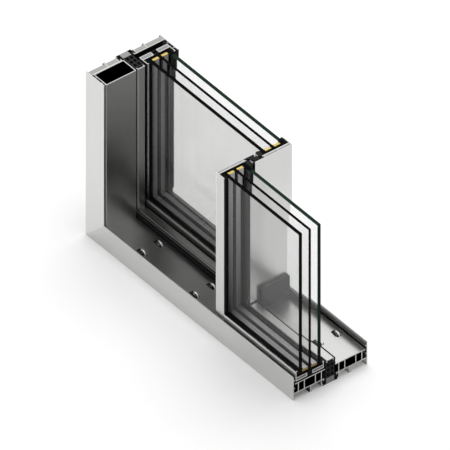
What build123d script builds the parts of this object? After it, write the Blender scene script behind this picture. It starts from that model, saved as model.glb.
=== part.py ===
from build123d import *
import os

os.makedirs("parts", exist_ok=True)

# Corner sample of a sliding window: a sill, a side jamb and two triple-glazed sashes,
# cut off flat at the top and at the right. Millimetres, +Z up. X runs along the sill,
# Y from the front face to the rear face.

# Whole sample
sampleLength = 650.6
sampleHeight = 407.2

# Frame profiles: every section is written in y (depth) and u (distance from the wall)
plateHeight = 57.0
plateThick = 2.0
wall = 2.0
baseLevel = 15.5
floorLevel = 40.0
floorStart = 5.3
faceWebs = [13.6, 28.4]
breakWebs = [23.5, 8.7]
plateRibs = [28.1, 47.8]
plateRibThick = 1.8
rearLipHeight = 45.0
footStem = 43.6
footHead = 5.5
clawFromEnd = 8.7
clawReach = 4.5
clawLevel = 2.6
barbFromEnd = 2.4
barbHeight = 3.0

# Thermal break between the front and the rear profile
breakWidth = 20.4
sealGap = 2.5
breakBottom = 14.0
breakTop = 51.0
breakWall = 2.0
breakColumns = 2
breakRows = 3
neckInset = 3.0
neckWall = 1.5
capTop = 58.4
capThick = 1.8
capLegDrop = 5.4
foamInset = 0.4
hookWall = 1.6

# Seals between frame and sashes
stemThick = 1.6
stemDrop = 6.0
bulbWall = 1.0
rearSealTop = 56.5
lipThick = 2.2
lipReach = 10.0
lipRound = 1.8

# Cover box on the jamb
coverProud = 1.5
coverWall = 2.0
ribGap = 0.3

# Glass unit: three panes and two gas gaps
outerPane = 8.0
middlePane = 6.0
paneGap = 16.0
spacerHeight = 6.0
sealHeight = 7.0

# Sashes
sashSideGap = 7.5
frontSashStart = 7.0
trackEndGap = 3.1
railBase = 44.6
jambRailBase = 30.8
bottomSeat = 9.6
jambSeat = 12.4
railWall = 1.8
railFrontLeg = 24.8
jambFrontLeg = 26.6
bottomRearLeg = 17.4
jambRearLeg = 26.6
legHook = 3.6
railBarWidth = 13.0
seatClear = 1.2
gasketHeight = 8.0
glazingBlockLength = 60.0
glazingBlockPitch = 180.0

# Meeting stiles, one pair of equal halves turned about their common middle
meetingX = 411.6
stileInner = 3.4
stilePlate = 3.0
stileCell = 3.8
stileRib = 1.6
stileEndRib = 2.3
stileEndBlock = 2.5
flangeLength = 17.2
stileGasketReach = 4.0
gasketLap = 12.0
coverSkin = 1.4
armThick = 2.8
armBeyond = 5.8
lockBlockReach = 16.4
lockBlockBack = 2.6
lockBlockThick = 8.0
lockChamber = 8.0
lockWall = 1.5
lockGap = 0.6
webSlope = 0.45
webThick = 5.0
webEndClear = 1.0

# Track rollers
rollerRadius = 9.5
rollerWidth = 7.6
rollerPitch = 166.0
frontRollerStart = 149.0
rearRollerStart = 81.0
frontRollerCount = 3
rearRollerCount = 4
rollerSlotLength = 22.5
rollerSlotWidth = 10.0
axleRadius = 2.0
runningClear = 0.05
carrierLength = 26.0
carrierWall = 1.4

# Loose small parts
sealBlockThick = 8.0
sealBlockTop = 91.0
padTop = 62.0
seat = 0.3
tapeLow = 5.0
toeLength = 2.4

# Depths that follow from the glass unit: the rear half mirrors the front half
unitDepth = 2 * outerPane + middlePane + 2 * paneGap
sashDepth = unitDepth + 2 * sashSideGap
frontSashEnd = frontSashStart + sashDepth
frontFloorEnd = frontSashEnd + trackEndGap
coverFront = floorStart
coverRear = frontFloorEnd
coverTop = plateHeight + coverProud
breakFront = frontFloorEnd + sealGap
breakRear = breakFront + breakWidth
frameDepth = breakFront + breakRear
rearFloorStart = frameDepth - frontFloorEnd
rearSashStart = frameDepth - frontSashEnd
rearSashEnd = frameDepth - frontSashStart
meetingY = frameDepth / 2
railBreakStart = (sashDepth - railBarWidth) / 2
railBreakEnd = railBreakStart + railBarWidth
webPositions = faceWebs + [frontFloorEnd - w for w in breakWebs]
clawStem = frontFloorEnd - clawFromEnd
barbEnd = frontFloorEnd - barbFromEnd
baseTop = baseLevel + wall
floorUnder = floorLevel - wall
rollerAxis = railBase - seat - rollerRadius


# Section helpers

def area(y0, y1, u0, u1):
    return Pos((y0 + y1) / 2, (u0 + u1) / 2) * Rectangle(y1 - y0, u1 - u0)


def solidBox(x0, x1, y0, y1, z0, z1):
    return Pos((x0 + x1) / 2, (y0 + y1) / 2, (z0 + z1) / 2) * Box(x1 - x0, y1 - y0, z1 - z0)


def outline(*points):
    return make_face(Polyline(*points, close=True))


def mirrorDepth(shape):
    return Pos(frameDepth, 0) * mirror(shape, about=Plane.YZ)


sillPlane = Plane.YZ
jambPlane = Plane(origin=(0, 0, 0), x_dir=(0, 1, 0), z_dir=(0, 0, -1))


def alongSill(section, start=0.0, end=sampleLength):
    return Pos(start, 0, 0) * extrude(sillPlane * section, amount=end - start)


def alongJamb(section, start=0.0, end=sampleHeight):
    return Pos(0, 0, start) * extrude(jambPlane * section, amount=start - end)


def uprightPrism(section, start, end=sampleHeight):
    return Pos(0, 0, start) * extrude(Plane.XY * section, amount=end - start)


def mitreWedge(sill, cornerX=0.0, cornerZ=0.0):
    reach = 2 * (sampleLength + sampleHeight)
    if sill:
        corners = [(-reach, -reach), (reach, reach), (reach, -reach)]
    else:
        corners = [(-reach, -reach), (reach, reach), (-reach, reach)]
    face = Plane.XZ * outline(*corners)
    prism = extrude(face, amount=-2 * frameDepth)
    return Pos(cornerX, -frameDepth / 2, cornerZ) * prism


frameSill = mitreWedge(True)
frameJamb = mitreWedge(False)
sashSill = mitreWedge(True, jambRailBase, railBase)
sashJamb = mitreWedge(False, jambRailBase, railBase)


def sillPiece(section):
    return alongSill(section) & frameSill


def jambPiece(section):
    return alongJamb(section) & frameJamb


# Frame sections

def outerShape():
    plate = area(0, plateThick, 0, plateHeight)
    base = area(plateThick, barbEnd, baseLevel, baseTop)
    barb = area(barbEnd - wall, barbEnd, baseLevel - barbHeight, baseLevel)
    bead = outline((plateThick, 0), (plateThick + 1.5, toeLength / 3), (plateThick, toeLength))
    stem = area(footStem - wall / 2, footStem + wall / 2, wall, baseLevel)
    head = area(footStem - footHead / 2, footStem + footHead / 2, 0, wall)
    claw = area(clawStem - wall / 2, clawStem + wall / 2, clawLevel, baseLevel)
    nail = area(clawStem + wall / 2, clawStem - wall / 2 + clawReach, clawLevel, clawLevel + wall)
    section = plate + base + barb + bead + stem + head + claw + nail
    for u in plateRibs:
        section += area(plateThick, floorStart - ribGap, u - plateRibThick / 2, u + plateRibThick / 2)
    return section


def chamberShape():
    webs = area(floorStart, frontFloorEnd, floorUnder, floorLevel)
    for y in webPositions:
        webs += area(y - wall / 2, y + wall / 2, baseTop, floorUnder)
    return webs


rearLip = area(frontFloorEnd - wall, frontFloorEnd, floorUnder, rearLipHeight)

frontSection = outerShape() + chamberShape()
rearSection = mirrorDepth(frontSection + rearLip)

frontRollerY = [(webPositions[0] + webPositions[1]) / 2, (webPositions[2] + webPositions[3]) / 2]
rearRollerY = [frameDepth - y for y in frontRollerY]


def rollerSpots(ys, start, count):
    return [(start + i * rollerPitch, y) for y in ys for i in range(count)]


frontSpots = rollerSpots(frontRollerY, frontRollerStart, frontRollerCount)
rearSpots = rollerSpots(rearRollerY, rearRollerStart, rearRollerCount)


def slotCut(spots):
    slot = Box(rollerSlotLength, rollerSlotWidth, 3 * wall)
    slot = fillet(slot.edges().filter_by(Axis.Z), 1.5)
    return [Pos(x, y, floorLevel - wall / 2) * slot for x, y in spots]


sillFront = sillPiece(frontSection) - slotCut(frontSpots)
sillRear = sillPiece(rearSection) - slotCut(rearSpots)
jambFront = jambPiece(outerShape())
jambRear = jambPiece(mirrorDepth(outerShape()))

# Thermal break, its cap, its foam and the hooks at its foot
cellWidth = (breakWidth - (breakColumns + 1) * breakWall) / breakColumns
cellHeight = (breakTop - breakBottom - (breakRows + 1) * breakWall) / breakRows
breakSection = area(breakFront, breakRear, breakBottom, breakTop)
for column in range(breakColumns):
    cellY = breakFront + breakWall + column * (cellWidth + breakWall)
    for row in range(breakRows):
        cellU = breakBottom + breakWall + row * (cellHeight + breakWall)
        breakSection -= area(cellY, cellY + cellWidth, cellU, cellU + cellHeight)

# A narrower neck with one row of cells stands on the core and carries the cap
neckFront = breakFront + neckInset
neckRear = breakRear - neckInset
neckTop = capTop - capThick
neckMiddle = (neckFront + neckRear) / 2
breakSection += area(neckFront, neckRear, breakTop, neckTop)
for y0, y1 in [(neckFront + neckWall, neckMiddle - neckWall / 2), (neckMiddle + neckWall / 2, neckRear - neckWall)]:
    breakSection -= area(y0, y1, breakTop, neckTop - neckWall)

capFront = neckFront - capThick
capRear = neckRear + capThick
capSection = area(capFront, capRear, capTop - capLegDrop, capTop)
capSection = fillet(capSection.vertices().group_by(Axis.Y)[-1], capThick)
capSection -= area(neckFront, neckRear, capTop - capLegDrop, neckTop)

foamSection = area(breakFront + foamInset, breakRear - foamInset, 0, breakBottom)

# Hollow plastic bars run from each claw across to the foam
hookTop = baseLevel - barbHeight
hookStart = clawStem - wall / 2 + clawReach


def hookBar(start, end):
    bar = area(start, end, 0, hookTop)
    return bar - area(start + hookWall, end - hookWall, hookWall, hookTop - 2 * hookWall)


frontHook = hookBar(hookStart, breakFront + foamInset)
rearHook = hookBar(breakRear - foamInset, frameDepth - hookStart)

# Seals along the break: a bulb beside the cap, a brush under it and a strip at the rear
bulbRadius = (capFront - coverRear) / 2
bulbY = coverRear + bulbRadius
bulbU = capTop - bulbRadius
bulb = Pos(bulbY, bulbU) * (Circle(bulbRadius) - Circle(bulbRadius - bulbWall))
bulbStem = area(breakFront - stemThick, breakFront, breakTop - stemDrop, bulbU - bulbRadius + bulbWall / 2)
frontBrush = area(frontFloorEnd, breakFront, floorUnder, floorLevel)
rearStrip = area(breakRear, rearFloorStart, floorLevel, rearSealTop)
rearPad = area(breakRear, rearFloorStart, floorUnder, floorLevel)
sealSections = [bulb + bulbStem, frontBrush, rearStrip, rearPad]

# Seals on the inner side of the rear plate; the jamb's one curls over the sash and the plate
plateInner = frameDepth - plateThick
ribEnd = plateRibs[-1] + plateRibThick / 2
plateSeal = area(rearSashEnd + seat, plateInner, ribEnd, plateHeight)
lipBase = max(plateHeight, jambRailBase + jambRearLeg) + seat
lipSection = area(frameDepth - lipReach, frameDepth, lipBase, lipBase + lipThick)
lipCorner = lipSection.vertices().sort_by(lambda v: v.X + v.Y)[-1]
lipSection = fillet([lipCorner], lipRound)
lipSection += area(rearSashEnd + seat, plateInner, plateHeight, lipBase)

# Jamb cover box, closed on four sides, against the ribs of the front plate
coverSection = area(coverFront, coverRear, baseTop, coverTop)
coverSection = fillet(coverSection.vertices(), 0.8)
coverSection -= area(coverFront + coverWall, coverRear - coverWall,
                     baseTop + coverWall, coverTop - coverWall)
coverBox = alongJamb(coverSection, start=floorLevel)
coverSeal = alongJamb(area(coverRear, breakFront - stemThick, baseTop, breakTop - stemDrop),
                      start=floorLevel)

# Sealing tape in the grooves on the wall side of the jamb
tapeRuns = [(plateThick, footStem - wall / 2), (footStem + wall / 2, clawStem - wall / 2)]
tape = None
for y0, y1 in tapeRuns:
    strip = area(y0, y1, tapeLow, baseLevel)
    tape = strip if tape is None else tape + strip
tapePieces = [jambPiece(tape), jambPiece(mirrorDepth(tape))]


# Sash rails: an outer and an inner aluminium half joined by a plastic bar

def railHalf(start, end, legHeight, seatTop, legAtStart):
    shape = area(start, end, 0, seatTop)
    shape -= area(start + railWall, end - railWall, railWall, seatTop - railWall)
    if legAtStart:
        leg = area(start, start + railWall, 0, legHeight)
        hook = area(start, start + legHook, legHeight - railWall, legHeight)
    else:
        leg = area(end - railWall, end, 0, legHeight)
        hook = area(end - legHook, end, legHeight - railWall, legHeight)
    return shape + leg + hook


def railFill(start, end, seatTop):
    return area(start + railWall, end - railWall, railWall, seatTop - railWall)


def railSections(frontLeg, rearLeg, glassEdge):
    seatTop = glassEdge - seatClear
    outer = railHalf(0, railBreakStart, frontLeg, seatTop, True)
    inner = railHalf(railBreakEnd, sashDepth, rearLeg, seatTop, False)
    bar = area(railBreakStart, railBreakEnd, 0, seatTop)
    bar -= area(railBreakStart + railWall, railBreakEnd - railWall, railWall, seatTop - railWall)
    fills = [railFill(0, railBreakStart, seatTop), railFill(railBreakEnd, sashDepth, seatTop)]
    return outer, inner, bar, fills


def glassGaskets(frontLeg, rearLeg, glassEdge):
    frontTop = frontLeg - railWall
    low = max(glassEdge, frontTop - gasketHeight)
    front = outline(
        (railWall, low),
        (sashSideGap, low),
        (sashSideGap, frontLeg + 1.0),
        (legHook, frontLeg),
        (legHook, frontTop),
        (railWall, frontTop),
    )
    rearTop = rearLeg - railWall
    rearFace = sashDepth - sashSideGap
    low = max(glassEdge, rearTop - gasketHeight)
    rear = outline(
        (sashDepth - railWall, low),
        (rearFace, low),
        (rearFace, rearLeg + 1.0),
        (sashDepth - legHook, rearLeg),
        (sashDepth - legHook, rearTop),
        (sashDepth - railWall, rearTop),
    )
    return front, rear


# Meeting stiles: sections with x across the sash and y in depth, made for the front
# sash and turned half round for the rear one
def box2(x0, x1, y0, y1):
    return Pos((x0 + x1) / 2, (y0 + y1) / 2) * Rectangle(x1 - x0, y1 - y0)


stileFace = meetingX - stileInner
plateBack = stileFace - stilePlate
stileBack = plateBack - stileCell
coverFace = stileBack - coverSkin
stileEnd = frontSashEnd
ribsEnd = stileEnd - 1.0 - stileEndBlock
cellsStart = frontSashStart + railWall
cellsEnd = ribsEnd - stileEndRib
flangeEnd = stileFace + flangeLength
stileMiddle = (cellsStart + cellsEnd) / 2

stileSection = box2(stileBack, stileFace, frontSashStart, ribsEnd)
stileSection += box2(plateBack, stileFace, ribsEnd, ribsEnd + stileEndBlock)
stileSection += box2(stileFace, flangeEnd, frontSashStart, frontSashStart + railWall)
cellSections = [
    box2(stileBack, plateBack, cellsStart, stileMiddle - stileRib / 2),
    box2(stileBack, plateBack, stileMiddle + stileRib / 2, cellsEnd),
]
for cell in cellSections:
    stileSection -= cell

# Interlock: an arm behind the cover, a block behind the glass and a slanted web between
armFace = stileBack + armThick
armEnd = meetingY + armBeyond
armStart = ribsEnd + seat
lockStart = railBase + railFrontLeg + 1.0 + seat
blockFront = frontSashEnd - sashSideGap + lockBlockBack
blockRear = blockFront + lockBlockThick
blockEnd = stileFace + lockBlockReach
blockCorner = ribsEnd + stileEndBlock + seat
chamberEnd = armFace + lockChamber
webEnd = 2 * meetingX - armFace - webEndClear


def webLine(x):
    return meetingY + webSlope * (x - meetingX) - lockGap / 2


lockSection = outline(
    (stileBack, armStart),
    (plateBack - seat, armStart),
    (plateBack - seat, blockCorner),
    (stileFace + seat, blockCorner),
    (stileFace + seat, blockFront),
    (blockEnd, blockFront),
    (blockEnd, blockRear - lockWall),
    (blockEnd - lockWall, blockRear),
    (chamberEnd, blockRear),
    (chamberEnd, webLine(chamberEnd) - webThick),
    (webEnd, webLine(webEnd) - webThick),
    (webEnd, webLine(webEnd)),
    (armFace, webLine(armFace)),
    (armFace, armEnd),
    (stileBack, armEnd),
)
lockSection -= box2(armFace + lockWall, chamberEnd - lockWall, blockRear - lockWall, webLine(armFace) - webThick)

armSection = box2(stileBack, armFace, armStart, armEnd)
coverOnStile = box2(coverFace, stileBack, frontSashStart, armStart)
coverOnLock = box2(coverFace, stileBack, armStart, armEnd + seat)

glassRear = frontSashEnd - sashSideGap
flangeGasket = box2(flangeEnd - gasketLap, flangeEnd + stileGasketReach,
                    frontSashStart + railWall, frontSashStart + sashSideGap)
innerGasket = box2(stileFace + lockWall, blockEnd - lockWall, glassRear, blockFront)


def rearStileHalf(section):
    return Pos(2 * meetingX, 2 * meetingY, 0) * Rot(0, 0, 180) * section


stileBottom = railBase
rearStileFace = 2 * meetingX - stileFace
rearCoverFace = 2 * meetingX - coverFace
rearArmFace = 2 * meetingX - armFace

# Sash rails along the sill and up the jamb
frontRailStart = stileFace
rearRailEnd = rearStileFace
outerHalf, innerHalf, middleBar, bottomFills = railSections(railFrontLeg, bottomRearLeg, bottomSeat)
jambOuter, jambInner, jambBar, jambFills = railSections(jambFrontLeg, jambRearLeg, jambSeat)


def bottomRun(section, depthStart, start, end):
    return alongSill(Pos(depthStart, railBase) * section, start, end)


def jambRun(section):
    return alongJamb(Pos(rearSashStart, jambRailBase) * section) & sashJamb


flangeNotch = solidBox(stileBack, flangeEnd, frontSashStart, frontSashStart + railWall,
                       railBase, sampleHeight)
hookNotch = solidBox(stileBack, flangeEnd, frontSashStart, frontSashStart + legHook,
                     railBase + bottomSeat, sampleHeight)
rearNotches = [rearStileHalf(n) for n in (flangeNotch, hookNotch)]
frontRail = [bottomRun(s, frontSashStart, frontRailStart, sampleLength) - [flangeNotch, hookNotch]
             for s in (outerHalf, innerHalf)]
frontRailBar = bottomRun(middleBar, frontSashStart, frontRailStart, sampleLength)
rearRail = [(bottomRun(s, rearSashStart, 0.0, rearRailEnd) & sashSill) - rearNotches
            for s in (outerHalf, innerHalf)]
rearRailBar = bottomRun(middleBar, rearSashStart, 0.0, rearRailEnd) & sashSill
rearJambRail = [jambRun(s) for s in (jambOuter, jambInner)]
rearJambBar = jambRun(jambBar)

# Insulating strips fill the rail chambers and the stile cells
fills = [bottomRun(f, frontSashStart, frontRailStart, sampleLength) for f in bottomFills]
fills += [bottomRun(f, rearSashStart, 0.0, rearRailEnd) & sashSill for f in bottomFills]
fills += [jambRun(f) for f in jambFills]
fills += [uprightPrism(cell, stileBottom) for cell in cellSections]
fills += [uprightPrism(rearStileHalf(cell), stileBottom) for cell in cellSections]

# Panes, spacers and edge seal
glassBottom = railBase + bottomSeat
rearGlassLeft = jambRailBase + jambSeat
rearGlassRight = rearStileFace
frontGlassLeft = stileFace

paneStarts = [0.0, outerPane + paneGap, unitDepth - outerPane]
paneThicks = [outerPane, middlePane, outerPane]
gapStarts = [outerPane, outerPane + paneGap + middlePane]


def panes(sashStart, left, right):
    glassStart = sashStart + sashSideGap
    result = []
    for start, thick in zip(paneStarts, paneThicks):
        y0 = glassStart + start
        result.append(solidBox(left, right, y0, y0 + thick, glassBottom, sampleHeight))
    return result


def edgeRing(sashStart, left, right, outside, thick, openSide):
    glassStart = sashStart + sashSideGap
    rings = []
    for start in gapStarts:
        y0 = glassStart + start
        y1 = y0 + paneGap
        low = glassBottom + outside
        x0 = left if openSide == "left" else left + outside
        x1 = right if openSide == "right" else right - outside
        body = solidBox(x0, x1, y0, y1, low, sampleHeight)
        hollowLeft = x0 if openSide == "left" else x0 + thick
        hollowRight = x1 if openSide == "right" else x1 - thick
        body -= solidBox(hollowLeft, hollowRight, y0, y1, low + thick, sampleHeight)
        rings.append(body)
    return rings


frontPanes = panes(frontSashStart, frontGlassLeft, sampleLength)
rearPanes = panes(rearSashStart, rearGlassLeft, rearGlassRight)
frontSpacers = edgeRing(frontSashStart, frontGlassLeft, sampleLength, sealHeight, spacerHeight, "right")
rearSpacers = edgeRing(rearSashStart, rearGlassLeft, rearGlassRight, sealHeight, spacerHeight, "none")
frontSeal = edgeRing(frontSashStart, frontGlassLeft, sampleLength, 0.0, sealHeight, "right")
rearSeal = edgeRing(rearSashStart, rearGlassLeft, rearGlassRight, 0.0, sealHeight, "none")

# Glazing blocks carry the glass on the bottom rails
railTop = glassBottom - seatClear


def glazingBlocks(sashStart, left, right):
    blocks = []
    x = left + glazingBlockLength
    while x < right - glazingBlockLength / 2:
        y0 = sashStart + sashSideGap
        half = glazingBlockLength / 2
        blocks.append(solidBox(x - half, x + half, y0, y0 + unitDepth, railTop, glassBottom))
        x += glazingBlockPitch
    return blocks


glazing = glazingBlocks(frontSashStart, frontGlassLeft, sampleLength)
glazing += glazingBlocks(rearSashStart, rearGlassLeft, rearGlassRight)

# Gaskets between rails and glass
frontRailGaskets = [bottomRun(s, frontSashStart, frontRailStart, sampleLength)
                    for s in glassGaskets(railFrontLeg, bottomRearLeg, bottomSeat)]
rearRailGaskets = [bottomRun(s, rearSashStart, 0.0, rearRailEnd) & sashSill
                   for s in glassGaskets(railFrontLeg, bottomRearLeg, bottomSeat)]
rearJambGaskets = [jambRun(s) for s in glassGaskets(jambFrontLeg, jambRearLeg, jambSeat)]

stileGasketStart = railBase + railFrontLeg + 1.0
frontStileGaskets = [uprightPrism(s, stileGasketStart) for s in (flangeGasket, innerGasket)]
rearStileGaskets = [uprightPrism(rearStileHalf(s), stileGasketStart) for s in (flangeGasket, innerGasket)]

frontStile = uprightPrism(stileSection, stileBottom)
frontStileCover = uprightPrism(coverOnStile, stileBottom) + uprightPrism(coverOnLock, padTop)
frontInterlock = uprightPrism(lockSection, lockStart) + uprightPrism(armSection, padTop, lockStart)
rearStile = uprightPrism(rearStileHalf(stileSection), stileBottom)
rearStileCover = uprightPrism(rearStileHalf(coverOnStile), stileBottom)
rearStileCover += uprightPrism(rearStileHalf(coverOnLock), padTop)
rearInterlock = uprightPrism(rearStileHalf(lockSection), lockStart)
rearInterlock += uprightPrism(rearStileHalf(armSection), padTop, lockStart)

# Rollers on their axles, standing in carriers in the narrow chambers of the tracks
rollerProfile = Circle(rollerRadius) - Circle(axleRadius + runningClear)


def roller():
    return extrude(Plane.XZ * rollerProfile, amount=rollerWidth / 2, both=True)


carrierBottom = baseTop
carrierTop = floorUnder
chamberWidth = faceWebs[1] - faceWebs[0] - wall


def carrier():
    height = carrierTop - carrierBottom
    body = Box(carrierLength, chamberWidth, height)
    body -= Pos(0, 0, carrierWall) * Box(rollerSlotLength, rollerSlotWidth, height)
    body = Pos(0, 0, (carrierTop + carrierBottom) / 2) * body
    seatHeight = carrierTop - rollerAxis + axleRadius
    axleSlot = Box(2 * axleRadius, chamberWidth, seatHeight)
    return body - Pos(0, 0, carrierTop - seatHeight / 2) * axleSlot


oneRoller = roller()
oneCarrier = carrier()
oneAxle = extrude(Plane.XZ * Circle(axleRadius), amount=chamberWidth / 2, both=True)


def placed(shape, spots, level):
    return [Pos(x, y, level) * shape for x, y in spots]


frontRollers = placed(oneRoller, frontSpots, rollerAxis)
rearRollers = placed(oneRoller, rearSpots, rollerAxis)
axles = placed(oneAxle, frontSpots + rearSpots, rollerAxis)
carriers = placed(oneCarrier, frontSpots + rearSpots, 0.0)

# Sealing block beside the rear stile in the rear track, and the pad under the interlock
blockLeft = rearCoverFace + seat
sealBlock = solidBox(blockLeft, blockLeft + sealBlockThick, rearSashStart, rearSashEnd,
                     floorLevel, sealBlockTop)
sealBlock = chamfer(sealBlock.edges().group_by(Axis.Z)[-1], 1.0)
footPad = solidBox(rearArmFace, rearCoverFace, capFront + 1.0, capRear - 1.0, capTop, padTop)

sealRunsSill = [sillPiece(s) for s in sealSections] + [sillPiece(plateSeal)]
sealRunsJamb = [jambPiece(s) for s in (bulb + bulbStem, rearStrip)]
sealRunsJamb += [jambPiece(plateSeal), alongJamb(lipSection, start=stileGasketStart), coverSeal]

nodes = {
    "sill_front_profile": sillFront,
    "sill_rear_profile": sillRear,
    "sill_thermal_break": sillPiece(breakSection),
    "sill_break_cap": sillPiece(capSection),
    "sill_foam_block": sillPiece(foamSection),
    "sill_insulating_hooks": [sillPiece(frontHook), sillPiece(rearHook)],
    "sill_seals": sealRunsSill,
    "front_track_rollers": frontRollers,
    "rear_track_rollers": rearRollers,
    "roller_axles": axles,
    "roller_carriers": carriers,
    "jamb_front_profile": jambFront,
    "jamb_rear_profile": jambRear,
    "jamb_thermal_break": jambPiece(breakSection),
    "jamb_break_cap": jambPiece(capSection),
    "jamb_foam_block": jambPiece(foamSection),
    "jamb_insulating_hooks": [jambPiece(frontHook), jambPiece(rearHook)],
    "jamb_cover_box": coverBox,
    "jamb_wall_tape": tapePieces,
    "jamb_seals": sealRunsJamb,
    "front_sash_bottom_rail": frontRail,
    "front_sash_rail_bar": frontRailBar,
    "front_sash_front_pane": frontPanes[0],
    "front_sash_middle_pane": frontPanes[1],
    "front_sash_rear_pane": frontPanes[2],
    "front_sash_spacers": frontSpacers,
    "front_sash_edge_seal": frontSeal,
    "front_sash_gaskets": frontRailGaskets + frontStileGaskets,
    "front_stile": frontStile,
    "front_stile_cover": frontStileCover,
    "front_interlock": frontInterlock,
    "rear_sash_bottom_rail": rearRail,
    "rear_sash_jamb_rail": rearJambRail,
    "rear_sash_rail_bars": [rearRailBar, rearJambBar],
    "rear_sash_front_pane": rearPanes[0],
    "rear_sash_middle_pane": rearPanes[1],
    "rear_sash_rear_pane": rearPanes[2],
    "rear_sash_spacers": rearSpacers,
    "rear_sash_edge_seal": rearSeal,
    "rear_sash_gaskets": rearRailGaskets + rearJambGaskets + rearStileGaskets,
    "rear_stile": rearStile,
    "rear_stile_cover": rearStileCover,
    "rear_interlock": rearInterlock,
    "sash_insulation_strips": fills,
    "glazing_blocks": glazing,
    "track_sealing_block": sealBlock,
    "interlock_foot_pad": footPad,
}

toOrigin = Pos(-sampleLength / 2, -frameDepth / 2, 0)


def solidsOf(shape):
    pieces = shape if isinstance(shape, list) else [shape]
    found = []
    for piece in pieces:
        found += (toOrigin * piece).solids()
    return found


for name, shape in nodes.items():
    solids = solidsOf(shape)
    export_step(Compound(children=solids), f"parts/{name}.step")
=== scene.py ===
import math
import bpy
from mathutils import Matrix, Vector


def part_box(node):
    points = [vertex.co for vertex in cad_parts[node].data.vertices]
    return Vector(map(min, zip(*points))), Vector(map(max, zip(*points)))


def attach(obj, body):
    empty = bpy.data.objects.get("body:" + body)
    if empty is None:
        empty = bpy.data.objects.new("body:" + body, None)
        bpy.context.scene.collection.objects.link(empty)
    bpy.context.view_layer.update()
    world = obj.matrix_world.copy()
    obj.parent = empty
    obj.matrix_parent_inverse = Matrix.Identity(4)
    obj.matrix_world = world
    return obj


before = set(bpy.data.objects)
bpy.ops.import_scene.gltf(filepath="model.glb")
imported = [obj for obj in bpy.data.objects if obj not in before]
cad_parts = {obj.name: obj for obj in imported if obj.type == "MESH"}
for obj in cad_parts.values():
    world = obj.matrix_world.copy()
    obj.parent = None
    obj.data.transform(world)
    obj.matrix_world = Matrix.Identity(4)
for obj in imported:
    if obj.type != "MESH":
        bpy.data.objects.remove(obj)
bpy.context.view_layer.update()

print("frame loaded:", len(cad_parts), "nodes")

# Camera: a parallel view, with the angles that the sample's straight edges have in the photograph
cameraView = {
    "turn": 51.857,           # degrees about Z
    "drop": 39.13,            # degrees down from level
    "pixelsPerMetre": 515.7,
    "imageWidth": 450,
    "aim": (-0.00159, -0.00248, 0.18535),
    "distance": 3.0,
    "farthest": 20.0,
}


def makeCamera(values):
    data = bpy.data.cameras.new("sampleCamera")
    data.type = "ORTHO"
    data.ortho_scale = values["imageWidth"] / values["pixelsPerMetre"]
    data.clip_end = values["farthest"]
    camera = bpy.data.objects.new("sampleCamera", data)
    bpy.context.scene.collection.objects.link(camera)
    turn, drop = math.radians(values["turn"]), math.radians(values["drop"])
    level = math.cos(drop)
    back = Vector((math.sin(turn) * level, -math.cos(turn) * level, math.sin(drop)))
    camera.location = Vector(values["aim"]) + values["distance"] * back
    camera.rotation_euler = (math.pi / 2 - drop, 0.0, turn)
    bpy.context.scene.camera = camera


makeCamera(cameraView)
print("camera set")

crispEdge = 0.0001       # metres that a sharp edge between two colours takes


# Shader maths: a socket with the operators that the finishes use
class Field:
    def __init__(self, tree, socket):
        self.tree = tree
        self.socket = socket

    def math(self, operation, *others, clamp=False):
        settings = {"operation": operation, "use_clamp": clamp}
        return Shader(self.tree).node("ShaderNodeMath", settings, self, *others)

    def __add__(self, other):
        return self.math("ADD", other)

    def __radd__(self, other):
        return self.math("ADD", other)

    def __sub__(self, other):
        return self.math("SUBTRACT", other)

    def __rsub__(self, other):
        return Shader(self.tree).node("ShaderNodeMath", {"operation": "SUBTRACT"}, other, self)

    def __mul__(self, other):
        return self.math("MULTIPLY", other)

    def __rmul__(self, other):
        return self.math("MULTIPLY", other)

    # soft steps about a level: 1 over it, or 1 under it
    def over(self, level, soft=crispEdge):
        return self.math("MULTIPLY_ADD", 1.0 / soft, 0.5 - level / soft, clamp=True)

    def under(self, level, soft=crispEdge):
        return self.math("MULTIPLY_ADD", -1.0 / soft, 0.5 + level / soft, clamp=True)

    def larger(self, other):
        return self.math("MAXIMUM", other)

    def smaller(self, other):
        return self.math("MINIMUM", other)

    def absolute(self):
        return self.math("ABSOLUTE")


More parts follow.
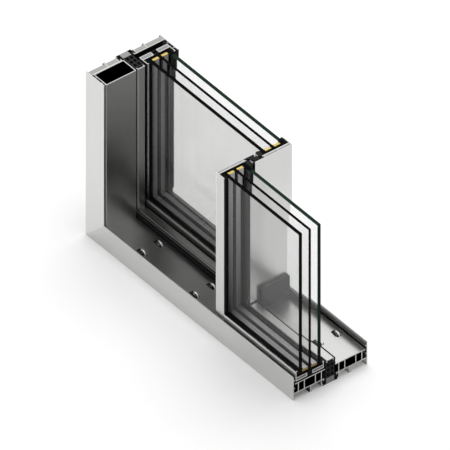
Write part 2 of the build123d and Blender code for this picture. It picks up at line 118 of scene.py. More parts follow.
# A node tree with one method that adds any node, and short forms of the usual ones
class Shader:
    def __init__(self, tree):
        self.tree = tree

    def put(self, socket, value):
        if isinstance(value, Field):
            self.tree.links.new(value.socket, socket)
        elif value is not None:
            socket.default_value = (*value, 1.0) if socket.type == "RGBA" else value

    def node(self, kind, settings=None, *values, output=0, **named):
        made = self.tree.nodes.new(kind)
        for name, value in (settings or {}).items():
            setattr(made, name, value)
        for socket, value in zip(made.inputs, values):
            self.put(socket, value)
        for name, value in named.items():
            self.put(made.inputs[name.replace("_", " ")], value)
        return Field(self.tree, made.outputs[output])

    def place(self):
        return self.node("ShaderNodeTexCoord", output=3)       # Object coordinates

    def axes(self):
        split = self.tree.nodes.new("ShaderNodeSeparateXYZ")
        self.put(split.inputs[0], self.place())
        return [Field(self.tree, out) for out in split.outputs]

    def colour(self, factor, first, second):
        made = self.tree.nodes.new("ShaderNodeMix")
        made.data_type = "RGBA"
        # a Mix node's factor, A and B for colours are its inputs 0, 6 and 7
        for place, value in ((0, factor), (6, first), (7, second)):
            self.put(made.inputs[place], value)
        return Field(self.tree, made.outputs[2])

    def toned(self, factor, colour, low):
        return self.colour(factor, dimmed(colour, low), colour)

    def noise(self, stretch, detail, roughness=0.55):
        scale = stretch if isinstance(stretch, tuple) else (stretch,) * 3
        spread = self.node("ShaderNodeMapping", None, Vector=self.place(), Scale=scale)
        return self.node("ShaderNodeTexNoise", None, Vector=spread, Scale=1.0, Detail=detail,
                         Roughness=roughness)

    def bump(self, values, height):
        strength, distance = values["bump"]
        return self.node("ShaderNodeBump", None, Strength=strength, Distance=distance,
                         Height=height)

    def surface(self, **sockets):
        return self.node("ShaderNodeBsdfPrincipled", None, **sockets)

    def finish(self, surface, kind="ShaderNodeOutputMaterial"):
        output = self.tree.nodes.new(kind)
        self.tree.links.new(surface.socket, output.inputs["Surface"])


def dimmed(colour, share):
    return tuple(part * share for part in colour)


def newMaterial(name):
    material = bpy.data.materials.new(name)
    material.use_nodes = True
    material.node_tree.nodes.clear()
    return material, Shader(material.node_tree)


# The sample in millimetres. Places on it are measured from its front left bottom corner
sample = {
    "length": 650.6,
    "depth": 183.6,
    "height": 407.2,
    "sawn": 0.08,        # how far in from a sawn end its own finish reaches
}


def atX(value): return value / 1000 - sample["length"] / 2000
def atY(value): return value / 1000 - sample["depth"] / 2000
def atZ(value): return value / 1000


# Masks on Object coordinates that more than one finish uses, and what joins them
def largest(masks):
    joined, *others = masks
    for mask in others:
        joined = joined.larger(mask)
    return joined


def sawnMask(shader, ends):
    # ends: z where the piece is sawn off at the top, x where it is at the side
    x, _, z = shader.axes()
    cuts = []
    if "z" in ends:
        cuts.append(z.over(atZ(sample["height"] - sample["sawn"])))
    if "x" in ends:
        cuts.append(x.absolute().over(atX(sample["length"] - sample["sawn"])))
    return largest(cuts)


edgeChips = {
    "grain": 240,
    "level": 0.46,
    "soft": 0.3,
}


def edgeMask(shader, node, width, values=edgeChips):
    # close to two faces of the piece's own box at once, broken up by a fine noise
    low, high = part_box(node)
    near = []
    for axis, socket in enumerate(shader.axes()):
        middle, half = (low[axis] + high[axis]) / 2, (high[axis] - low[axis]) / 2
        near.append((socket - middle).absolute().over(half - width, width))
    chips = shader.noise(values["grain"], detail=2).over(values["level"], values["soft"])
    return largest([near[0] * near[1], near[1] * near[2], near[0] * near[2]]) * chips


def zoneMask(shader, zone):
    # zone: lowest and highest place in millimetres on each axis that limits it, None where it
    # has no end, and a pair of a place and a width for an end that fades
    mask = None
    for axis, place, socket in zip("xyz", (atX, atY, atZ), shader.axes()):
        for step, end in zip((socket.over, socket.under), zone.get(axis, ())):
            if end is None:
                continue
            level, width = end if isinstance(end, tuple) else (end, crispEdge * 1000)
            part = step(place(level), width / 1000)
            mask = part if mask is None else mask * part
    return mask


# Anodised aluminium: fine lines along the extrusion, faint clouding, rubbed edges with a painted
# highlight, painted shade and light in zones, and bright sawn ends. Each low is the share of a
# colour that its darkest spots keep
aluminium = {
    "sawn": (0.74, 0.74, 0.73),
    "bare": (0.85, 0.85, 0.84),
    "metallic": 1.0,
    "sawnLoss": 0.55,         # a sawn end is that much less of a mirror
    "lines": {"x": (5, 620, 620), "z": (620, 620, 5)},
    "clouds": 11,
    "sawMarks": {"x": (90, 1500, 1500), "z": (1500, 90, 1500)},
    "lineShare": 0.6,
    "cloudShare": 0.7,
    "toneDrop": 0.15,
    "lowBody": 0.9,
    "lowShade": 0.85,
    "lowSawn": 0.82,
    "edgeWidth": 0.0007,
    "edgeWear": 0.6,
    "roughness": 0.25,
    "roughTone": 0.12,
    "smoothEdge": 0.06,
    "sawnRoughness": 0.42,
    "sawnSpread": 0.2,
    "lineHeight": 0.5,
    "bump": (0.25, 0.00006),
}
satinAluminium = dict(aluminium, metallic=0.6)

# The metal's base tone on each piece, set lighter or darker partly as painted light and shade, and
# the tones of painted shade and painted light in the zones below
tones = {
    "jamb": (0.70, 0.70, 0.685),
    "sill": (0.61, 0.61, 0.60),
    "floor": (0.80, 0.80, 0.785),
    # painted shade: the front track and the whole cover box get this darker tone
    "track": (0.55, 0.55, 0.54),
    "shaded": (0.22, 0.22, 0.215),
    "sillCap": (0.78, 0.78, 0.77),
    "shadedCap": (0.30, 0.30, 0.292),
    "jambCap": (0.53, 0.53, 0.52),
    "stile": (0.645, 0.645, 0.635),
    "litStileFoot": (0.80, 0.80, 0.79),
    "shadedCoverMiddle": (0.42, 0.42, 0.41),
    "litCoverFoot": (0.74, 0.74, 0.73),
    "litCoverFront": (0.50, 0.50, 0.49),
    "frontRail": (0.84, 0.84, 0.83),
    "rearRail": (0.92, 0.92, 0.90),
    "dark": (0.20, 0.20, 0.195),
    "blackShade": (0.02, 0.02, 0.02),
    "hollow": (0.012, 0.012, 0.012),
    "rearHollow": (0.10, 0.10, 0.098),
}

# Where the painted shade and painted light lie
zones = {
    # painted shade on all that lies behind the front plate
    "insideFront": {"y": (2.1, None)},
    "nearMeeting": {"x": ((240, 200), None), "y": (5.0, None)},
    "plateBehindSash": {"x": (None, (405, 10)), "y": (181.2, 183.4)},
    # painted shade on the cap left of the meeting stiles, darkest along its front edge
    "capLeft": {"x": (None, (400, 4))},
    "capLeftFront": {"x": (None, (400, 4)), "y": (None, (87.0, 1))},
    # painted shade in the cover box's middle, painted light at its foot and on its front face in
    # the narrow gap behind the front plate
    "shadedCoverMiddle": {"z": ((165, 60), (315, 120))},
    "litCoverFoot": {"z": (None, (140, 70))},
    "litCoverFront": {"x": ((50.0, 4), None), "y": (None, (5.7, 0.4))},
    # painted light: the rear stile cover is lighter towards its foot
    "litStileFoot": {"z": (None, (220, 280))},
    # painted shade on the front rail: black on its rear flange and top, darker on its front foot
    "frontRailFlange": {"y": (66.0, None), "z": (56.5, None)},
    "frontRailTopShade": {"z": (67.9, None)},
    "frontRailFoot": {"y": (None, 8.6), "z": (None, (56.5, 1))},
    # painted shade on the rear rail: darker on its front leg and rear rim, black on its top,
    # leaving a narrow band of its light tone as a painted highlight line
    "rearRailLeg": {"y": (None, 110.0), "z": (None, (63.5, 4))},
    "rearRailRim": {"y": (170.0, None), "z": (61.8, None)},
    "rearRailTopShade": {"z": (68.6, None)},
}

# Chambers and roller slots, which no light reaches
chamber, slot = (17.4, 38.1), (38.0, 39.9)
hollowZones = {
    "sillFront": [{"y": (7.2, 77.2), "z": chamber}, {"y": (15.9, 26.1), "z": slot},
                  {"y": (57.9, 68.1), "z": slot}],
    "sillRear": [{"y": (106.4, 176.4), "z": chamber}, {"y": (115.5, 125.7), "z": slot},
                 {"y": (157.5, 167.7), "z": slot}],
    "jambFront": [{"x": chamber, "y": (7.2, 77.2)}, {"x": (17.2, 45.4), "y": (1.2, 5.4)}],
    "jambRear": [{"x": chamber, "y": (106.4, 176.4)}],
    "cover": [{"x": (19.0, 55.3), "y": (7.1, 77.3)}],
}


def anodised(node, along, tint="jamb", shades=None, hollows=None, hollow="hollow", matt=None,
             values=aluminium):
    # shades: each zone and the tone of painted shade and light that the metal gets there, the last
    # one on top
    # matt: a zone where the metal scatters light as paint does
    material, shader = newMaterial(node + "Finish")
    lines = shader.noise(values["lines"][along], detail=4)
    cloud = shader.noise(values["clouds"], detail=3)
    tone = lines * values["lineShare"] + cloud * values["cloudShare"] - values["toneDrop"]
    tone = tone.larger(0.0)
    body = shader.toned(tone, tones[tint], values["lowBody"])
    for zone, shade in (shades or {}).items():
        patch = shader.toned(tone, tones[shade], values["lowShade"])
        body = shader.colour(zoneMask(shader, zones[zone]), body, patch)
    # rubbed edges: partly wear, partly a painted highlight along the edges
    worn = edgeMask(shader, node, values["edgeWidth"])
    body = shader.colour(worn * values["edgeWear"], body, values["bare"])
    if hollows is not None:
        inner = largest(zoneMask(shader, zone) for zone in hollowZones[hollows])
        body = shader.colour(inner, body, tones[hollow])
    cut = sawnMask(shader, along)
    marks = shader.noise(values["sawMarks"][along], detail=3)
    colour = shader.colour(cut, body, shader.toned(marks, values["sawn"], values["lowSawn"]))
    drawn = values["roughness"] + tone * values["roughTone"] - worn * values["smoothEdge"]
    sawn = values["sawnRoughness"] + marks * values["sawnSpread"]
    height = lines * values["lineHeight"] * (1 - cut) + marks * cut
    metal = values["metallic"] - cut * values["sawnLoss"]
    if matt is not None:
        metal = metal * (1 - zoneMask(shader, zones[matt]))
    shader.finish(shader.surface(Base_Color=colour, Roughness=drawn * (1 - cut) + sawn * cut,
                                 Metallic=metal, Normal=shader.bump(values, height)))
    return material


aluminiumPieces = {
    "sill_front_profile": {"along": "x", "tint": "sill", "hollows": "sillFront",
                           "shades": {"insideFront": "track", "nearMeeting": "shaded"}},
    "sill_rear_profile": {"along": "x", "tint": "floor", "hollows": "sillRear",
                          "shades": {"plateBehindSash": "shaded"}},
    "sill_break_cap": {"along": "x", "tint": "sillCap",
                       "shades": {"capLeft": "shadedCap", "capLeftFront": "dark"}},
    "jamb_front_profile": {"along": "z", "hollows": "jambFront",
                           "shades": {"insideFront": "track"}},
    "jamb_rear_profile": {"along": "z", "hollows": "jambRear", "hollow": "rearHollow"},
    # the cover box: painted shade all over in the track tone, more painted shade in its middle,
    # painted light at its foot and on its front face, which is also matt
    "jamb_cover_box": {"along": "z", "tint": "track", "hollows": "cover", "matt": "litCoverFront",
                       "shades": {"shadedCoverMiddle": "shadedCoverMiddle", "litCoverFoot": "litCoverFoot",
                                  "litCoverFront": "litCoverFront"}},
    "jamb_break_cap": {"along": "z", "tint": "jambCap"},
    "front_stile": {"along": "z", "tint": "stile"},
    "rear_stile": {"along": "z", "tint": "stile"},
    "front_stile_cover": {"along": "z", "tint": "stile"},
    "rear_stile_cover": {"along": "z", "tint": "stile", "shades": {"litStileFoot": "litStileFoot"}},
    "front_sash_bottom_rail": {"along": "x", "tint": "frontRail",
                               "shades": {"frontRailFlange": "blackShade", "frontRailTopShade": "blackShade",
                                          "frontRailFoot": "dark"}},
    # the rear rail's light tone between its painted shade is a painted highlight line
    "rear_sash_bottom_rail": {"along": "x", "tint": "rearRail", "values": satinAluminium,
                              "shades": {"rearRailLeg": "dark", "rearRailRim": "dark",
                                         "rearRailTopShade": "blackShade"}},
    "rear_sash_jamb_rail": {"along": "z"},
}
looks = {node: anodised(node, **settings) for node, settings in aluminiumPieces.items()}
print("aluminium finished on", len(aluminiumPieces), "nodes")

# Moulded plastic, rubber, foam and tape: one grainy finish, each with its own figures
fibrePlastic = {
    "body": (0.024, 0.024, 0.025),
    "deep": (0.012, 0.012, 0.013),
    "cut": (0.019, 0.019, 0.020),      # where it is sawn
    "grain": 900,
    "clouds": 35,
    "grainShare": 0.65,
    "contrast": (0.5, 0.5),
    "roughness": 0.5,
    "roughSpread": 0.3,
    "sawnRoughness": 0.1,
    "bump": (0.2, 0.0002),
    "shine": 0.08,
    "edgeWidth": 0.0006,
    "edgeWear": 0.5,
    "zones": (),                       # places with a colour of their own
}
# the roller carriers are darker than the other plastic, as painted shade in the roller slots
shadedCarrierPlastic = dict(fibrePlastic, body=(0.006, 0.006, 0.006), deep=(0.003, 0.003, 0.003),
                      shine=0.03, edgeWear=0.2)
breakPlastic = dict(fibrePlastic, body=(0.045, 0.045, 0.046), deep=(0.028, 0.028, 0.029),
                    cut=(0.036, 0.036, 0.037))
blackRubber = dict(fibrePlastic, body=(0.010, 0.010, 0.010), deep=(0.005, 0.005, 0.005),
                   cut=(0.007, 0.007, 0.007), grain=500, roughness=0.55, shine=0.05)
edgeSealant = dict(blackRubber, body=(0.006, 0.006, 0.006), deep=(0.003, 0.003, 0.003),
                   cut=(0.002, 0.002, 0.002), grain=260, roughness=0.6, shine=0.02)
blockRubber = dict(fibrePlastic, body=(0.058, 0.058, 0.058), deep=(0.042, 0.042, 0.042),
                   cut=(0.11, 0.11, 0.11), grain=700, roughness=0.6, shine=0.1)
# the sill's seals are greyer where the bulb faces the track, and on the rear plate
sillRubber = dict(blackRubber, zones=(
    ({"y": (78.9, 81.0), "z": (54.0, 57.9)}, (0.11, 0.11, 0.11)),
    ({"y": (176.5, 182.0), "z": (48.6, 57.2)}, (0.15, 0.15, 0.148)),
))
greyFoam = dict(fibrePlastic, body=(0.30, 0.30, 0.30), deep=(0.20, 0.20, 0.20),
                cut=(0.33, 0.33, 0.33), grain=420, roughness=0.85, bump=(0.6, 0.0002), shine=0.1)
# the strips in the bottom rails are darker in the upper part of their sawn ends
railFoam = dict(greyFoam, zones=(
    ({"x": (640, None), "y": (5.0, 78.0), "z": (50.3, 56.5)}, (0.05, 0.05, 0.05)),
    ({"x": (640, None), "y": (5.0, 78.0), "z": (48.6, 50.3)}, (0.17, 0.17, 0.17)),
))
wallTape = dict(greyFoam, body=(0.42, 0.42, 0.41), deep=(0.30, 0.30, 0.29),
                cut=(0.40, 0.40, 0.38), grain=600)


def grainy(node, values):
    material, shader = newMaterial(node + "Finish")
    grain = shader.noise(values["grain"], detail=4, roughness=0.65)
    cloud = shader.noise(values["clouds"], detail=2)
    tone = grain * values["grainShare"] + cloud * (1 - values["grainShare"])
    body = shader.colour(tone.over(*values["contrast"]), values["deep"], values["body"])
    worn = edgeMask(shader, node, values["edgeWidth"])
    body = shader.colour(worn * values["edgeWear"], body, values["cut"])
    cut = sawnMask(shader, "xz")
    colour = shader.colour(cut, body, values["cut"])
    for zone, tint in values["zones"]:
        colour = shader.colour(zoneMask(shader, zone), colour, tint)
    rough = values["roughness"] + (grain - 0.5) * values["roughSpread"]
    shader.finish(shader.surface(Base_Color=colour, Normal=shader.bump(values, grain),
                                 Roughness=rough + cut * values["sawnRoughness"],
                                 Specular_IOR_Level=values["shine"]))
    return material


grainyPieces = {
    "sill_thermal_break": breakPlastic,
    "jamb_thermal_break": breakPlastic,
    "sill_insulating_hooks": fibrePlastic,
    "jamb_insulating_hooks": fibrePlastic,
    "front_interlock": fibrePlastic,
    "rear_interlock": fibrePlastic,
    "front_sash_rail_bar": fibrePlastic,
    "rear_sash_rail_bars": fibrePlastic,
    "glazing_blocks": fibrePlastic,
    "roller_carriers": shadedCarrierPlastic,
    "sill_foam_block": greyFoam,
    "jamb_foam_block": greyFoam,
    "sash_insulation_strips": railFoam,
    "jamb_wall_tape": wallTape,
    "sill_seals": sillRubber,
    "jamb_seals": blackRubber,
    "front_sash_gaskets": blackRubber,
    "rear_sash_gaskets": blackRubber,
    "interlock_foot_pad": blackRubber,
    "front_sash_edge_seal": edgeSealant,
    "rear_sash_edge_seal": edgeSealant,
    "track_sealing_block": blockRubber,
}
for node, values in grainyPieces.items():
    looks[node] = grainy(node, values)
print("plastic, rubber, foam and tape finished on", len(grainyPieces), "nodes")

# Spacer bars: grey sides towards the gas, a gold filling of beads where they are sawn
spacerBar = {
    "side": (0.36, 0.363, 0.368),
    "sideDeep": (0.28, 0.282, 0.286),
    "sideGrain": 260,
    "filling": (0.92, 0.74, 0.25),
    "fillingDeep": (0.60, 0.43, 0.10),
    "shadedFilling": (0.36, 0.25, 0.075),      # on the side cut
    "beads": 380,
    "beadEdge": (0.35, 0.5),
    "gap": 16.0,                # millimetres between two panes
    "bond": (0.005, 0.005, 0.005),
    "bondSide": (4.8, 1.2),     # its width at the front and at the rear of each gap
    "bondEnd": (1.1, 1.1),
    "roughness": 0.45,
    "roughSpread": 0.15,
    "bump": (0.4, 0.0003),
}
# the front sash's bars lie in more light, except in the corner at the foot of the stile
brightSpacer = dict(spacerBar, side=(0.76, 0.765, 0.775), sideDeep=(0.66, 0.665, 0.675),
                    bondSide=(4.0, 1.2), corner=(0.18, 0.182, 0.186),
                    cornerZone={"x": (None, (452, 50)), "z": (None, (220, 250))})


def spacerFinish(node, gaps, values):
    # gaps: where each gap between two panes starts in Y
    material, shader = newMaterial(node + "Finish")
    grain = shader.noise(values["sideGrain"], detail=3)
    side = shader.colour(grain, values["sideDeep"], values["side"])
    beads = shader.node("ShaderNodeTexVoronoi", None, Vector=shader.place(), Scale=values["beads"])
    filling = shader.colour(beads.over(*values["beadEdge"]), values["filling"],
                            values["fillingDeep"])
    if "corner" in values:
        shaded = zoneMask(shader, values["cornerZone"])
        side = shader.colour(shaded, side, values["corner"])

    # black bonding against the panes, so only the middle of each gap is bare
    def bare(front, rear):
        first, second = (zoneMask(shader, {"y": (start + front, start + values["gap"] - rear)})
                         for start in gaps)
        return first + second

    side = shader.colour(bare(*values["bondSide"]), values["bond"], side)
    filling = shader.colour(sawnMask(shader, "x"), filling, values["shadedFilling"])
    filling = shader.colour(bare(*values["bondEnd"]), values["bond"], filling)
    cut = sawnMask(shader, "xz")
    rough = values["roughness"] + grain * values["roughSpread"] + cut * values["roughSpread"]
    shader.finish(shader.surface(Base_Color=shader.colour(cut, side, filling), Roughness=rough,
                                 Normal=shader.bump(values, beads * cut)))
    return material


looks["front_sash_spacers"] = spacerFinish("front_sash_spacers", (22.0, 44.0), brightSpacer)
looks["rear_sash_spacers"] = spacerFinish("rear_sash_spacers", (122.6, 144.6), spacerBar)

# Float glass: clear through its faces, dark where it is cut, green along the rear pane's cut
floatGlass = {
    "bend": 1.38,
    "smears": (14, 14, 5),
    "smearEdge": (0.6, 0.25),
    "lowClear": 0.985,
    "cutRipple": (30, 30, 260),
    "blackEdge": (0.002, 0.002, 0.002),
    "lowBlack": 0.6,
    "greenEdge": (0.015, 0.031, 0.022),
    "lowGreen": 0.7,
    "edgeRoughness": 0.3,
    "edgeShine": 0.02,
}
# the green shows clear of the frame only
glassUnits = {
    "front_sash": {"clear": (0.970, 0.972, 0.969),
                   "green": {"x": ((437, 1), (660, 1)), "z": ((95, 50), None)}},
    # the rear unit's glass is a little darker than the front's, as painted shade
    "rear_sash": {"clear": (0.935, 0.938, 0.934),
                  "green": {"x": ((64, 1), (397, 1)), "z": ((95, 50), None)}},
}


def glassFinish(node, clearTone, green=None, values=floatGlass):
    material, shader = newMaterial(node + "Finish")
    smears = shader.noise(values["smears"], detail=4).over(*values["smearEdge"])
    tint = shader.colour(smears, clearTone, dimmed(clearTone, values["lowClear"]))
    clear = shader.surface(Base_Color=tint, Roughness=0.0, IOR=values["bend"],
                           Transmission_Weight=1.0)
    ripple = shader.noise(values["cutRipple"], detail=3)
    tone = shader.toned(ripple, values["blackEdge"], values["lowBlack"])
    if green is not None:
        leaf = shader.toned(ripple, values["greenEdge"], values["lowGreen"])
        tone = shader.colour(zoneMask(shader, green), tone, leaf)
    rough = values["edgeRoughness"] + ripple * values["edgeRoughness"]
    cutEdge = shader.surface(Base_Color=tone, Roughness=rough,
                             Specular_IOR_Level=values["edgeShine"])
    cut = sawnMask(shader, "xz")
    shader.finish(shader.node("ShaderNodeMixShader", None, cut, clear, cutEdge))
    return material


for sash, unit in glassUnits.items():
    for pane in ("front_pane", "middle_pane"):
        looks[f"{sash}_{pane}"] = glassFinish(f"{sash}_{pane}", unit["clear"])
    looks[f"{sash}_rear_pane"] = glassFinish(f"{sash}_rear_pane", unit["clear"], unit["green"])
print("glass units finished")

# Rollers and axles: turned steel; on each wheel a ribbed ring darkened as painted shade, a groove,
# and a painted highlight on its other half
turnedSteel = {
    "steel": (0.86, 0.86, 0.85),
    "lowSteel": 0.82,
    "grease": (0.18, 0.17, 0.15),
    "greaseShare": 0.55,
    "greaseEdge": (0.60, 0.16),
    "greaseSpots": 130,
    "rings": (160, 1700, 160),
    "rows": (21.0, 63.0, 120.6, 162.6),     # the wheels' places in Y
    "wheelHalf": 0.006,
    "rib": (0.24, 0.24, 0.24),
    "ribPitch": 3100,
    "ribEdge": (0.2, 0.8),
    "groove": (0.006, 0.006, 0.006),
    "grooveHalf": 0.00055,
    "treadHighlight": (0.96, 0.96, 0.95),
    "highlightLoss": 0.85,        # the painted highlight is that much less of a mirror
    "roughness": 0.14,
    "roughRings": 0.12,
    "roughGrease": 0.15,
    "bump": (0.3, 0.00008),
}


def steelFinish(node, values=turnedSteel):
    material, shader = newMaterial(node + "Finish")
    rings = shader.noise(values["rings"], detail=3)
    spots = shader.noise(values["greaseSpots"], detail=3).over(*values["greaseEdge"])
    colour = shader.toned(rings, values["steel"], values["lowSteel"])
    colour = shader.colour(spots * values["greaseShare"], colour, values["grease"])
    x, y, _ = shader.axes()
    ribs = (x * values["ribPitch"]).math("SINE").over(*values["ribEdge"])
    ribbed = shader.colour(ribs, values["groove"], values["rib"])
    treadHighlights = []
    for row in values["rows"]:
        away = y - atY(row)
        onWheel = away.absolute().under(values["wheelHalf"])
        # painted shade: the ribbed half of each wheel is darker
        colour = shader.colour(onWheel * away.under(0.0), colour, ribbed)
        groove = away.absolute().under(values["grooveHalf"])
        colour = shader.colour(groove, colour, values["groove"])
        treadHighlights.append(onWheel * away.over(values["grooveHalf"]))
    # painted highlight: the other half of each wheel is light and less of a mirror
    bright = largest(treadHighlights)
    colour = shader.colour(bright, colour, values["treadHighlight"])
    rough = values["roughness"] + rings * values["roughRings"] + spots * values["roughGrease"]
    shader.finish(shader.surface(Base_Color=colour, Roughness=rough,
                                 Metallic=1.0 - bright * values["highlightLoss"],
                                 Normal=shader.bump(values, rings)))
    return material


for node in ("front_track_rollers", "rear_track_rollers", "roller_axles"):
    looks[node] = steelFinish(node)
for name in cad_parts:
    mesh = bpy.data.objects[name].data
    mesh.materials.clear()
    mesh.materials.append(looks[name])
print("materials set on", len(looks), "nodes")

# Brush pile in the two slots of the interlock, made by Geometry Nodes: bristles on a backing strip
interlockPile = {
    "strip": (412.2, 420.6, 81.0),     # its two ends in X and its back in Y, in millimetres
    "stands": (72.0, 407.0),           # its bottom and its top
    "turnAbout": (411.6, 91.8),        # the second pile is the first turned half round there
    "backing": 0.0011,
    "bristle": 0.0036,
    "radius": 0.00032,
    "tipShare": 0.5,                   # a bristle's thickness at its tip
    "rootShare": (0.96, 0.998),        # the part of the strip that bristles grow on
    "density": 420000.0,
    "lean": 0.12,
    "seed": 7,
    "pale": (0.66, 0.66, 0.64),
    "deep": (0.36, 0.36, 0.35),
    "shade": (0.022, 0.022, 0.022),    # down in the slot
    "shadeZone": {"z": (None, (405.0, 3))},
    "strands": (1500, 1500, 420),
    "bunches": (300, 300, 90),
    "strandShare": 0.6,
    "contrast": (0.5, 0.4),
    "roughness": 0.8,
    "roughSpread": 0.15,
    "shine": 0.1,
    "bump": (0.3, 0.0002),
}


def pileFinish(values):
    material, shader = newMaterial("interlockPileFinish")
    strands = shader.noise(values["strands"], detail=2)
    bunches = shader.noise(values["bunches"], detail=2)
    tone = strands * values["strandShare"] + bunches * (1 - values["strandShare"])
    colour = shader.colour(tone.over(*values["contrast"]), values["deep"], values["pale"])
    colour = shader.colour(zoneMask(shader, values["shadeZone"]), colour, values["shade"])
    rough = values["roughness"] + bunches * values["roughSpread"]
    shader.finish(shader.surface(Base_Color=colour, Roughness=rough,
                                 Normal=shader.bump(values, strands),
                                 Specular_IOR_Level=values["shine"]))
    return material


def pileTree(values, material):
    tree = bpy.data.node_groups.new("interlockPileTree", "GeometryNodeTree")
    names = ("width", "height", "backing", "bristle", "radius", "density", "lean")
    sockets = {name: tree.interface.new_socket(name, in_out="INPUT",
                                               socket_type="NodeSocketFloat").identifier
               for name in names}
    tree.interface.new_socket("Geometry", in_out="OUTPUT", socket_type="NodeSocketGeometry")
    build = Shader(tree)
    start = tree.nodes.new("NodeGroupInput")
    given = {name: Field(tree, start.outputs[name]) for name in names}
    # the strip stands in the XZ plane with its back at y = 0
    size = build.node("ShaderNodeCombineXYZ", None, given["width"], given["backing"],
                      given["height"])
    strip = build.node("GeometryNodeMeshCube", None, Size=size)
    shift = build.node("ShaderNodeCombineXYZ", None, 0.0, given["backing"] * 0.5, 0.0)
    strip = build.node("GeometryNodeTransform", None, Geometry=strip, Translation=shift)
    # the sheet that the bristles grow on is turned upright, and so is each bristle
    upright = (-math.pi / 2, 0.0, 0.0)
    wide, tall = values["rootShare"]
    sheet = build.node("GeometryNodeMeshGrid", None, Size_X=given["width"] * wide,
                       Size_Y=given["height"] * tall, Vertices_X=2, Vertices_Y=2)
    roots = build.node("GeometryNodeTransform", None, Geometry=sheet, Translation=shift,
                       Rotation=upright)
    points = build.node("GeometryNodeDistributePointsOnFaces", None, Mesh=roots,
                        Density=given["density"], Seed=values["seed"])
    bristle = build.node("GeometryNodeMeshCone", None, Vertices=4, Side_Segments=1,
                         Fill_Segments=1, Radius_Top=given["radius"] * values["tipShare"],
                         Radius_Bottom=given["radius"], Depth=given["bristle"])
    tip = build.node("FunctionNodeRandomValue", {"data_type": "FLOAT_VECTOR"},
                     (-1.0, -1.0, -1.0), (1.0, 1.0, 1.0), Seed=values["seed"] + 1)
    lean = build.node("ShaderNodeVectorMath", {"operation": "SCALE"}, Vector=tip,
                      Scale=given["lean"])
    turn = build.node("ShaderNodeVectorMath", {"operation": "ADD"}, lean, upright)
    bristles = build.node("GeometryNodeInstanceOnPoints", None, Points=points,
                          Instance=bristle, Rotation=turn)
    joined = tree.nodes.new("GeometryNodeJoinGeometry")
    for piece in (bristles, strip):
        tree.links.new(piece.socket, joined.inputs["Geometry"])
    real = build.node("GeometryNodeRealizeInstances", None,
                      Geometry=Field(tree, joined.outputs["Geometry"]))
    dressed = build.node("GeometryNodeSetMaterial", None, Geometry=real, Material=material)
    end = tree.nodes.new("NodeGroupOutput")
    tree.links.new(dressed.socket, end.inputs["Geometry"])
    return tree, sockets


def makePile(name, values, tree, sockets, material, turned):
    left, right, back = values["strip"]
    bottom, top = values["stands"]
    maker = bpy.data.objects.new(name + "Seed", bpy.data.meshes.new(name + "Seed"))
    bpy.context.scene.collection.objects.link(maker)
    modifier = maker.modifiers.new("pile", "NODES")
    modifier.node_group = tree
    sizes = dict(values, width=(right - left) / 1000, height=(top - bottom) / 1000)
    for key, identifier in sockets.items():
        modifier[identifier] = sizes[key]
    view = bpy.context.evaluated_depsgraph_get()
    mesh = bpy.data.meshes.new_from_object(maker.evaluated_get(view))
    bpy.data.objects.remove(maker)
    mesh.materials.clear()              # it comes with an empty slot before its own
    mesh.materials.append(material)
    middle = Vector((atX((left + right) / 2), atY(back), atZ((top + bottom) / 2)))
    place = Matrix.Translation(middle)
    if turned:
        about = Vector((atX(values["turnAbout"][0]), atY(values["turnAbout"][1]), 0.0))
        halfTurn = Matrix.Rotation(math.pi, 4, "Z")
        place = Matrix.Translation(about) @ halfTurn @ Matrix.Translation(-about) @ place
    mesh.transform(place)
    mesh.name = name
    pile = bpy.data.objects.new(name, mesh)
    bpy.context.scene.collection.objects.link(pile)
    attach(pile, "root")
    print(name, "has", len(mesh.polygons), "faces")


pileMaterial = pileFinish(interlockPile)
tree, sockets = pileTree(interlockPile, pileMaterial)
for name, turned in (("frontInterlockPile", False), ("rearInterlockPile", True)):
    makePile(name, interlockPile, tree, sockets, pileMaterial, turned)

# Studio: a white floor that keeps the sample's soft shadow, white surroundings, one soft lamp
studio = {
    "floorHalf": 8.0,
    "floorColour": (0.97, 0.97, 0.97),
    "floorBounce": (0.35, 0.35, 0.35),     # what the sample gets back from the floor
    "floorImage": (0.38, 0.38, 0.38),      # the floor as a mirror image in the glass
    "floorGlow": 0.06,
    "worldImage": 0.47,
    "worldStrength": 0.52,
    "lampPower": 236.0,
    "lampPlace": (-0.8, 1.1, 5.6),
    "lampAim": (0.0, 0.0, 0.2),
    "lampSize": (5.5, 5.5),
}


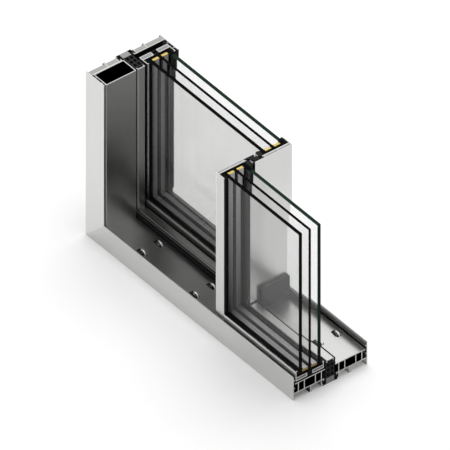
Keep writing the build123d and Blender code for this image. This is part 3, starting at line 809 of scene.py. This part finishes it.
def raySight(shader):
    # seen: what the camera, satin metal and a straight look through the glass see
    # image: what only a mirror image in the glass sees
    path = shader.tree.nodes.new("ShaderNodeLightPath")
    camera, glossy, through, mirror, bounced, depth = (
        Field(shader.tree, path.outputs[name]) for name in
        ("Is Camera Ray", "Is Glossy Ray", "Is Transmission Ray", "Is Singular Ray",
         "Is Reflection Ray", "Glossy Depth"))
    straight = through * depth.under(0.5, 0.1)       # 1 where the ray was never mirrored
    satin = glossy * bounced * (1 - mirror)
    seen = (camera + straight + satin).smaller(1.0)
    image = ((glossy + through).smaller(1.0) - seen).larger(0.0)
    return seen, image


def makeFloor(values):
    half = values["floorHalf"]
    mesh = bpy.data.meshes.new("studioFloor")
    corners = [(-half, -half, 0.0), (half, -half, 0.0), (half, half, 0.0), (-half, half, 0.0)]
    mesh.from_pydata(corners, [], [(0, 1, 2, 3)])
    floor = bpy.data.objects.new("studioFloor", mesh)
    bpy.context.scene.collection.objects.link(floor)
    material, shader = newMaterial("floorFinish")
    seen, image = raySight(shader)
    tone = shader.colour(seen, values["floorBounce"], values["floorColour"])
    tone = shader.colour(image, tone, values["floorImage"])
    matt = shader.node("ShaderNodeBsdfDiffuse", None, Color=tone)
    glow = shader.node("ShaderNodeEmission", None, Strength=seen * values["floorGlow"])
    shader.finish(shader.node("ShaderNodeAddShader", None, matt, glow))
    mesh.materials.append(material)


def makeWorld(values):
    world = bpy.data.worlds.new("studioWorld")
    bpy.context.scene.world = world
    world.use_nodes = True
    world.node_tree.nodes.clear()
    shader = Shader(world.node_tree)
    seen, image = raySight(shader)
    hidden = 1 - seen - image
    strength = seen + image * values["worldImage"] + hidden * values["worldStrength"]
    background = shader.node("ShaderNodeBackground", None, Color=(1.0, 1.0, 1.0),
                             Strength=strength)
    shader.finish(background, "ShaderNodeOutputWorld")


def makeLamp(values):
    data = bpy.data.lights.new("softLamp", "AREA")
    data.shape = "RECTANGLE"
    data.size, data.size_y = values["lampSize"]
    data.energy = values["lampPower"]
    lamp = bpy.data.objects.new("softLamp", data)
    bpy.context.scene.collection.objects.link(lamp)
    lamp.location = values["lampPlace"]
    lamp.visible_glossy = False         # the metal mirrors the white surroundings, not the lamp
    direction = Vector(values["lampAim"]) - lamp.location
    lamp.rotation_euler = direction.to_track_quat("-Z", "Y").to_euler()


makeFloor(studio)
makeWorld(studio)
makeLamp(studio)
bpy.context.scene.view_settings.view_transform = "Standard"
print("studio set")

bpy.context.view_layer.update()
